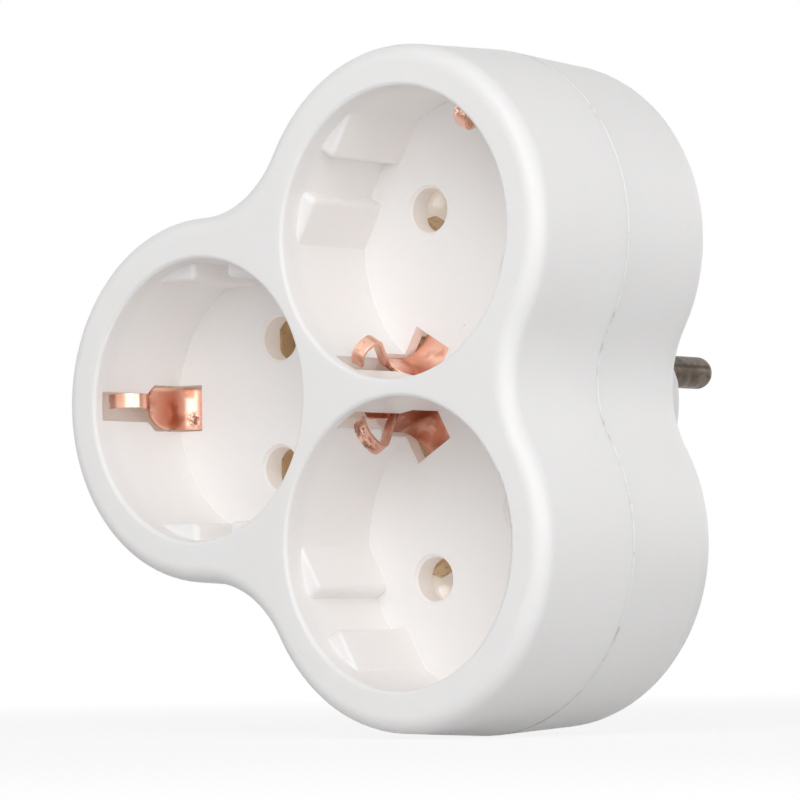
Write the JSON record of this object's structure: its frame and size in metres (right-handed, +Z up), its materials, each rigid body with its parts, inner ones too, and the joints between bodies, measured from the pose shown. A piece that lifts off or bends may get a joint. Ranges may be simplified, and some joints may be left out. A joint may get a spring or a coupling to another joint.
{
  "type": "multi socket adapter",
  "caption": "Trefoil wall-socket adapter: round recessed earthed sockets with guide ribs and spring earth clips in front, one round pin plug behind.",
  "frame": {"origin": "centre of the plug face, midway between the two pins, where the plug's boss ends and the pins begin", "axes": "+Y points out along the plug pins, away from the sockets, so the sockets face -Y; +Z up; the side lobe points to -X"},
  "size_m": [0.0905, 0.0773, 0.0962],
  "materials": {
    "white_plastic": "smooth, slightly glossy white",
    "carrier_plastic": "matt off-white",
    "copper": "bare copper alloy, slightly tarnished",
    "brass": "bare brass",
    "pin_nickel": "dull nickel plate",
    "rivet_brass": "bare brass",
    "screw_steel": "zinc plated"
  },
  "bodies": {
    "root": {"front_housing": "white_plastic", "rear_cover": "white_plastic", "contact_carrier": "carrier_plastic", "earth_strip_1": "copper", "earth_strip_2": "copper", "earth_strip_3": "copper", "live_bar": "brass", "neutral_bar": "brass", "earth_link": "brass", "plug_earth_strap": "brass", "live_jaw_1": "brass", "live_jaw_2": "brass", "live_jaw_3": "brass", "neutral_jaw_1": "brass", "neutral_jaw_2": "brass", "neutral_jaw_3": "brass", "plug_pin_live": "pin_nickel", "plug_pin_neutral": "pin_nickel", "live_jaw_rivets": "rivet_brass", "neutral_jaw_rivets": "rivet_brass", "earth_rivets": "rivet_brass", "cover_screws": "screw_steel"}
  },
  "joints": []
}
